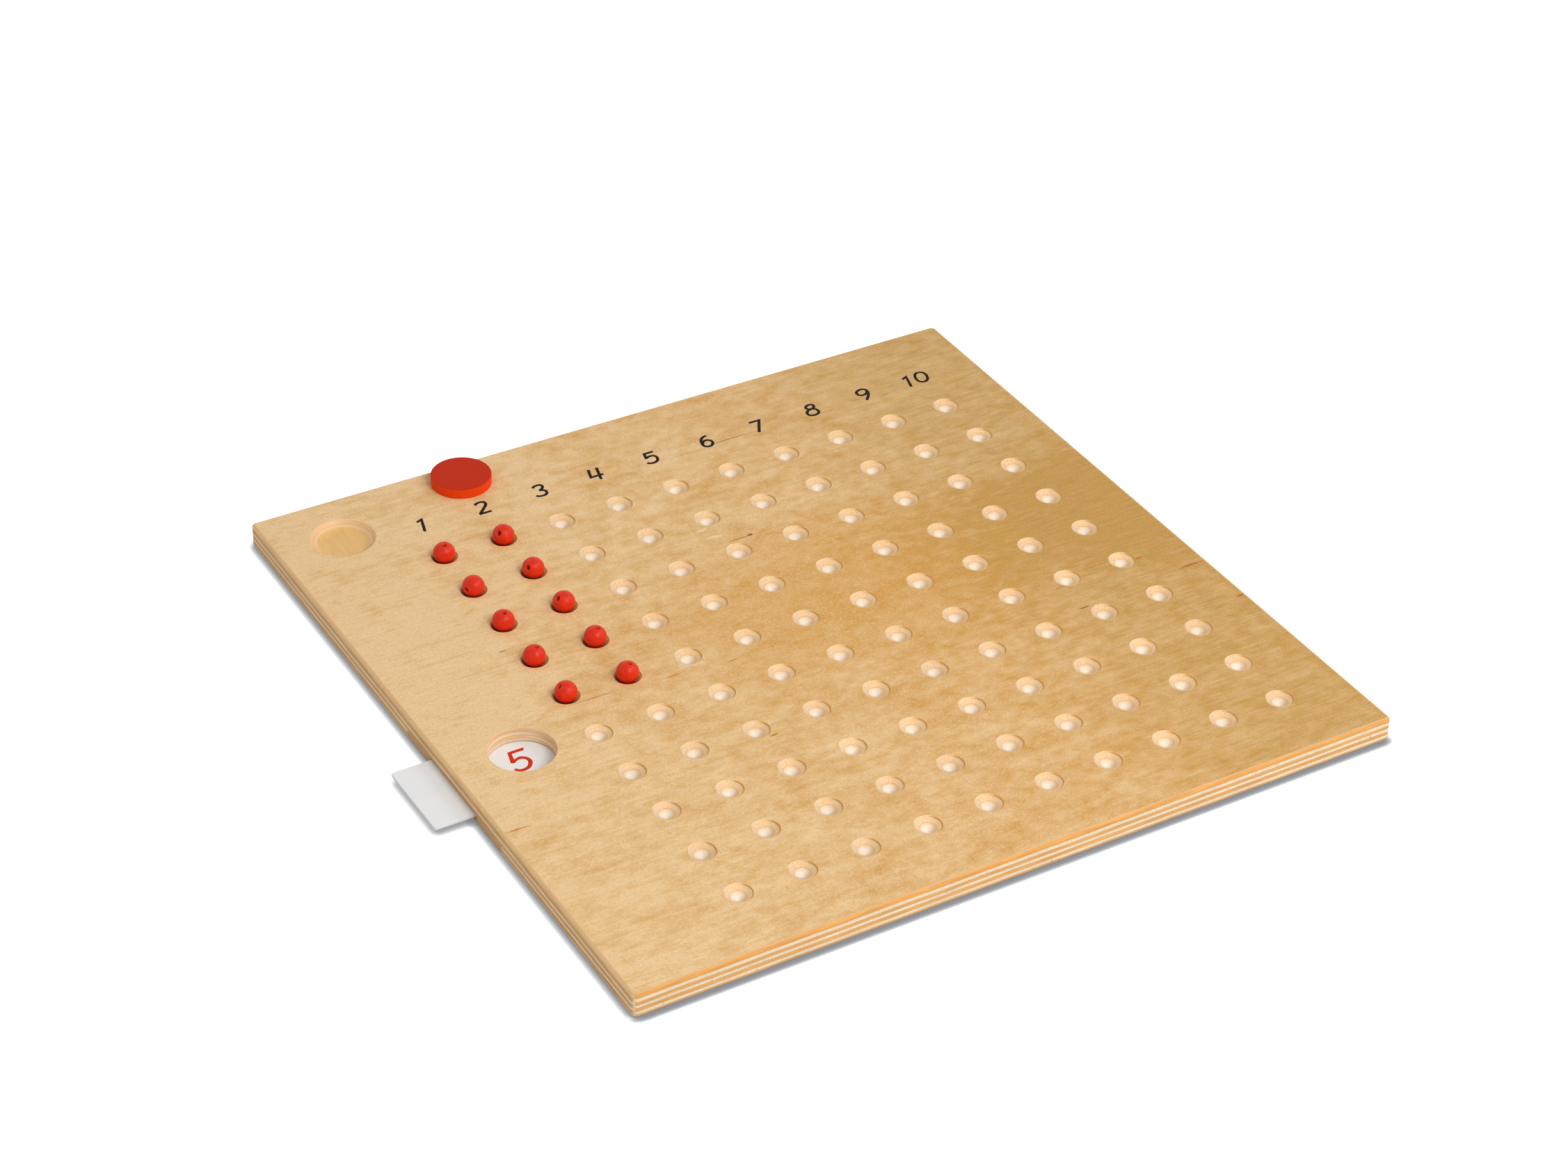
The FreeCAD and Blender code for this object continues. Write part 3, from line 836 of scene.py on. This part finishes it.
def make_beads():
    """The ten beads, each turned as it lies in its seat."""
    start = asin(BEAD_MOUTH / BEAD_RADIUS)
    ball = []
    for step in range(BEAD_STEPS + 1):
        turn = start + (pi - 2 * start) * step / BEAD_STEPS
        ball.append((BEAD_RADIUS * sin(turn), BEAD_RADIUS * cos(turn)))
    mouth = [(radius, ball[0][1] - fall) for radius, fall in BEAD_MOUTH_EASE]
    profile = mouth[::-1] + ball + [(radius, -height) for radius, height in mouth]
    material = bead_material()
    for column, row, tilt, heading in BEADS:
        node = f"bead_c{column}_r{row}"
        bm = bmesh.new()
        first, last = lathe(bm, Vector((0, 0)), profile, BEAD_SIDES)
        band(bm, last, first)
        piece = new_piece("wood_" + node, bm, [material], node)
        turn = Matrix.Rotation(radians(heading), 4, "Z") @ Matrix.Rotation(radians(tilt), 4, "Y")
        piece.matrix_world = Matrix.Translation(middle(node) * MM) @ turn
        settle_normals(piece, limit=60)


def make_card():
    """The number card, with rounded corners and soft edges. The height of its top comes back."""
    low, high = box_of("number_card")
    centre = (low + high) / 2

    # The CAD box holds the turned card, and its rounded corners keep that box a little smaller
    spread = cos(2 * CARD_TURN)
    lost = 2 * CARD_CORNER * (cos(CARD_TURN) + sin(CARD_TURN) - 1)
    across = high.x - low.x + lost
    along = high.y - low.y + lost
    length = (across * cos(CARD_TURN) - along * sin(CARD_TURN)) / spread
    width = (along * cos(CARD_TURN) - across * sin(CARD_TURN)) / spread

    half_thick = (high.z - low.z) / 2
    edge = [(inset * CARD_EASE, half_thick - fall * CARD_EASE) for inset, fall in CARD_EDGE]
    edge += [(inset, -height) for inset, height in edge[::-1]]
    bm = bmesh.new()
    rings = []
    for inset, height in edge:
        half = Vector((length / 2 - inset, width / 2 - inset))
        rings.append(ring_of(bm, rounded_outline(-half, half, CARD_CORNER - inset), height))
    for first, second in zip(rings, rings[1:]):
        band(bm, first, second)
    for ring in (rings[0], rings[-1]):
        add_face(bm, ring)
    piece = new_piece("card", bm, [card_material()], "number_card")
    piece.matrix_world = Matrix.Translation(centre * MM) @ Matrix.Rotation(CARD_TURN, 4, "Z")
    settle_normals(piece)
    return high.z


def smooth_path(points, steps=10):
    """A smooth curve through points."""
    ends = [points[0]] + points + [points[-1]]
    path = []
    for i in range(1, len(ends) - 2):
        before, start, end, after = (Vector(p) for p in ends[i - 1 : i + 3])
        bend = 2 * before - 5 * start + 4 * end - after
        twist = 3 * start - before - 3 * end + after
        for step in range(steps):
            t = step / steps
            path.append(0.5 * (2 * start + (end - before) * t + bend * t * t + twist * t**3))
    path.append(Vector(points[-1]))
    return path


def ribbon(path, width):
    """A stroke of that width along a path, as four-cornered pieces that share their ends."""
    left = []
    right = []
    for i, point in enumerate(path):
        before = path[max(i - 1, 0)]
        after = path[min(i + 1, len(path) - 1)]
        first = (point - before).normalized() if i else (after - point).normalized()
        second = (after - point).normalized() if i < len(path) - 1 else first
        along = (first + second).normalized()
        side = Vector((-along.y, along.x))
        reach = width / 2 / max(along.dot(first), 0.5)
        left.append(point + side * reach)
        right.append(point - side * reach)
    pairs = range(len(path) - 1)
    return [(right[i], right[i + 1], left[i + 1], left[i]) for i in pairs]


def print_shapes(name, shapes, height, ink):
    """Flat printed shapes: the union of outlines at one height."""
    points = [point for shape in shapes for point in shape]
    faces = []
    start = 0
    for shape in shapes:
        faces.append(list(range(start, start + len(shape))))
        start += len(shape)
    found = delaunay_2d_cdt(points, [], faces, 1, 1e-5)
    bm = bmesh.new()
    vertices = ring_of(bm, found[0], height)
    for triangle, origin in zip(found[2], found[5]):
        if origin:
            add_face(bm, [vertices[i] for i in triangle])
    for vertex in [v for v in bm.verts if not v.link_faces]:
        bm.verts.remove(vertex)
    piece = new_piece(name, bm, [ink])
    if any(face.normal.z < 0 for face in piece.data.polygons):
        piece.data.flip_normals()


# Each numeral's middle along the board, and its strokes about that middle: the first word
# tells smooth curves from lines with corners
NUMERAL_ROW = 118.4
STROKE = 1.2
NUMERALS = [
    (-94.6, [("line", [(-0.95, 2.6), (1.35, 3.55), (-0.85, -4.2)])]),
    (-70, [
        ("curve", [(-1.56, 2.38), (-0.75, 3.25), (0.81, 3.56), (2.19, 3.13), (2.5, 2.0),
                   (2.0, 0.8), (0.63, -0.63), (-0.94, -2.2), (-2.4, -3.64)]),
        ("line", [(-2.75, -3.65), (2.35, -3.65)]),
    ]),
    (-46, [
        ("curve", [(-1.38, 2.5), (-0.3, 3.35), (1.25, 3.56), (2.4, 3.0), (2.44, 1.9),
                   (1.75, 0.75), (0.2, 0.0)]),
        ("curve", [(0.2, 0.0), (1.5, -0.4), (2.25, -1.2), (2.1, -2.6), (1.1, -3.5),
                   (-0.45, -3.7), (-1.75, -3.3), (-2.5, -2.6)]),
    ]),
    (-22, [
        ("line", [(-1.06, 3.75), (-2.5, -1.38), (2.8, -1.38)]),
        ("line", [(2.45, 3.75), (0.45, -4.2)]),
    ]),
    (2, [
        ("line", [(2.85, 3.4), (-1.0, 3.4), (-1.85, -0.1)]),
        ("curve", [(-1.75, 0.1), (-0.75, 0.8), (0.6, 1.0), (1.9, 0.45), (2.25, -0.95),
                   (1.75, -2.5), (0.5, -3.5), (-1.05, -3.7), (-2.3, -3.3), (-2.75, -2.5)]),
    ]),
    (26, [
        ("curve", [(2.25, 3.4), (0.95, 3.2), (-0.4, 2.3), (-1.3, 0.9), (-1.9, -0.95),
                   (-1.9, -2.5), (-1.0, -3.55), (0.25, -3.75), (1.5, -3.1), (2.25, -1.9),
                   (2.2, -0.5), (1.25, 0.5), (0, 0.55), (-1.1, -0.15), (-1.75, -1.25)]),
    ]),
    (49.6, [("line", [(-2.2, 3.45), (2.3, 3.45), (-1.95, -4.2)])]),
    (73.6, [
        ("curve", [(0.35, 0.75), (-0.85, 1.2), (-1.15, 2.2), (-0.35, 3.35), (1.1, 3.75),
                   (2.3, 3.3), (2.4, 2.2), (1.7, 1.15), (0.35, 0.75)]),
        ("curve", [(0.35, 0.75), (-1.5, 0.1), (-2.6, -1.3), (-2.5, -2.8), (-1.3, -3.6),
                   (0.3, -3.6), (1.7, -2.9), (2.2, -1.4), (1.7, 0.05), (0.35, 0.75)]),
    ]),
    (98, [
        ("curve", [(-1.35, -4.0), (0.3, -2.2), (1.55, -0.5), (2.2, 1.25), (2.2, 2.7),
                   (1.25, 3.65), (-0.1, 3.75), (-1.55, 3.2), (-2.4, 2.0), (-2.25, 0.6),
                   (-1.25, -0.1), (0.1, -0.1), (1.4, 0.6), (2.15, 1.75)]),
    ]),
    (122, [
        ("line", [(-4.9, 2.3), (-2.6, 3.4), (-4.6, -3.9)]),
        ("curve", [(3.45, 3.9), (1.85, 3.45), (0.7, 1.9), (0.1, -0.3), (0.4, -2.2),
                   (1.95, -3.1), (3.6, -2.6), (4.7, -1.1), (5.3, 1.1), (4.95, 3.0),
                   (3.45, 3.9)]),
    ]),
]


def make_numerals():
    """The printed row of numerals behind the seats."""
    shapes = []
    for centre, strokes in NUMERALS:
        for kind, points in strokes:
            placed = [Vector((centre + x, NUMERAL_ROW + y)) for x, y in points]
            path = smooth_path(placed) if kind == "curve" else placed
            shapes += ribbon(path, STROKE)
    ink = ink_material("black_print", linear(22, 19, 15))
    print_shapes("numerals", shapes, THICK + PRINT_LIFT, ink)


# The card's numeral: its bar, its stem and its bowl, from its lower left corner
FIVE_CORNER = (-128.0, -25.1)
FIVE_BAR = [(2.5, 11.95), (8.58, 11.95), (8.25, 10.5), (3.5, 10.5)]
FIVE_STEM = [(2.5, 11.95), (3.5, 10.5), (2.88, 7.4), (2.1, 5.4), (0.88, 5.95)]
FIVE_OUTER = [
    (2.88, 7.4), (5.1, 8.0), (7.1, 6.95), (8.08, 4.95), (7.75, 2.95), (5.9, 0.7), (3.4, 0.0),
    (1.4, 0.6), (0.0, 2.2),
]
FIVE_INNER = [
    (2.1, 5.4), (3.9, 6.45), (5.4, 6.4), (6.4, 5.45), (6.5, 3.95), (5.4, 2.2), (3.5, 1.45),
    (1.9, 1.8), (1.3, 2.7),
]


def make_five(card_top):
    """The red numeral that shows in the window."""
    bowl = smooth_path(FIVE_OUTER) + smooth_path(FIVE_INNER)[::-1]
    shapes = []
    for shape in (FIVE_BAR, FIVE_STEM, bowl):
        shapes.append([Vector(FIVE_CORNER) + Vector(p) for p in shape])
    ink = ink_material("red_print", linear(208, 46, 22))
    print_shapes("numeral_five", shapes, card_top + PRINT_LIFT, ink)


WHITE = (1, 1, 1, 1)

# The floor, in metres and linear colours: how far the contact shadow reaches, the front edge
# that it is deeper before, how fast it fades at the other edges and before the front one, and
# its colour; then the floor's colour as the camera sees it, with its glow, and for all else
FLOOR_HALF = 4.0
FLOOR_DROP = 0.0001
CONTACT_REACH = 0.0037
FRONT_EDGE = (-0.149, -0.151)
CONTACT_FADE = (3.7, 9.0)
CONTACT_TINT = (0.145, 0.154, 0.165, 1)
FLOOR_SEEN = (0.36, 0.37, 0.39, 1)
FLOOR_GLOW = 1.4
FLOOR_BOUNCE = (0.8, 0.8, 0.8, 1)

# The soft light from all round, and each lamp's direction from the part, power and size
SKY = 0.56
LAMP_DISTANCE = 1.6
LAMPS = (
    ("key", (0.12, -0.66, 0.74), 12.5, 0.7),
    ("fill", (0.7, -0.3, 0.65), 4.0, 0.6),
)

# The camera as it was found from the grid of seats in the photograph
LENS = 82.08
SENSOR = 36
CAMERA_PLACE = (-0.54649, -0.89134, 0.75946)
CAMERA_FORWARD = Vector((0.42348355, 0.70149492, -0.57320726))
CAMERA_UP = Vector((0.27402068, 0.50391228, 0.81913679))


def floor_material():
    """A plain pale floor, which keeps the shadow close to the part."""
    material = bpy.data.materials.new("floor")
    material.use_nodes = True
    g = Graph(material.node_tree)
    g.tree.nodes.remove(g.tree.nodes["Principled BSDF"])
    seen = g.add("LightPath").outputs["Is Camera Ray"]
    near = g.add("AmbientOcclusion")
    near.inputs["Distance"].default_value = CONTACT_REACH
    near.inputs["Color"].default_value = WHITE
    _, y, _ = g.split(g.add("NewGeometry").outputs["Position"])
    fade = g.span(y, *FRONT_EDGE, *CONTACT_FADE, smooth=False)
    tint = g.blend(g.math("POWER", near.outputs["AO"], fade), CONTACT_TINT, WHITE)
    shaded = g.blend(1.0, FLOOR_SEEN, tint, "MULTIPLY")
    diffuse = g.feed_all(g.add("BsdfDiffuse"), g.blend(seen, FLOOR_BOUNCE, shaded))
    glow = g.feed_all(g.add("Emission"), tint, g.times(seen, FLOOR_GLOW))
    both = g.feed_all(g.add("AddShader"), diffuse, glow)
    g.feed(g.tree.nodes["Material Output"].inputs["Surface"], both)
    return material


def make_floor():
    """The floor under the part."""
    bm = bmesh.new()
    bmesh.ops.create_grid(bm, x_segments=1, y_segments=1, size=FLOOR_HALF)
    mesh = bpy.data.meshes.new("floor")
    bm.to_mesh(mesh)
    bm.free()
    mesh.materials.append(floor_material())
    floor = bpy.data.objects.new("floor", mesh)
    floor.location.z = -FLOOR_DROP
    bpy.context.scene.collection.objects.link(floor)


def make_world():
    """Soft light from all round, and white where the camera, a reflection or glass looks."""
    world = bpy.data.worlds.new("studio")
    world.use_nodes = True
    bpy.context.scene.world = world
    g = Graph(world.node_tree)
    soft = g.feed_all(g.tree.nodes["Background"], WHITE, SKY)
    white = g.feed_all(g.add("Background"), WHITE, 1.0)
    path = g.add("LightPath").outputs
    seen = g.math("MAXIMUM", path["Is Camera Ray"], path["Is Glossy Ray"])
    seen = g.math("MAXIMUM", seen, path["Is Transmission Ray"])
    choice = g.feed_all(g.add("MixShader"), seen, soft, white)
    g.feed(g.tree.nodes["World Output"].inputs["Surface"], choice)


def make_lamps():
    """Two soft studio lamps."""
    for name, way, power, size in LAMPS:
        lamp = bpy.data.lights.new(name, "AREA")
        lamp.shape = "DISK"
        lamp.size = size
        lamp.energy = power
        light = bpy.data.objects.new(name, lamp)
        toward = Vector(way).normalized()
        light.location = toward * LAMP_DISTANCE
        light.rotation_euler = toward.to_track_quat("Z", "Y").to_euler()
        bpy.context.scene.collection.objects.link(light)


def make_camera():
    """The photograph's camera and a plain view."""
    lens = bpy.data.cameras.new("camera")
    lens.lens = LENS
    lens.sensor_width = SENSOR
    lens.clip_start = 0.05
    camera = bpy.data.objects.new("camera", lens)
    right = CAMERA_FORWARD.cross(CAMERA_UP)
    turn = Matrix((right, CAMERA_UP, -CAMERA_FORWARD)).transposed().to_4x4()
    camera.matrix_world = Matrix.Translation(CAMERA_PLACE) @ turn
    bpy.context.scene.collection.objects.link(camera)
    bpy.context.scene.camera = camera
    bpy.context.scene.view_settings.view_transform = "Standard"
    bpy.context.scene.view_settings.look = "None"


make_board()
make_disc()
make_beads()
make_numerals()
make_five(make_card())
inlay_mesh = frame["nodes"]["slot_inlay"].data
inlay_mesh.materials.clear()
inlay_mesh.materials.append(inlay_material())
make_floor()
make_world()
make_lamps()
make_camera()
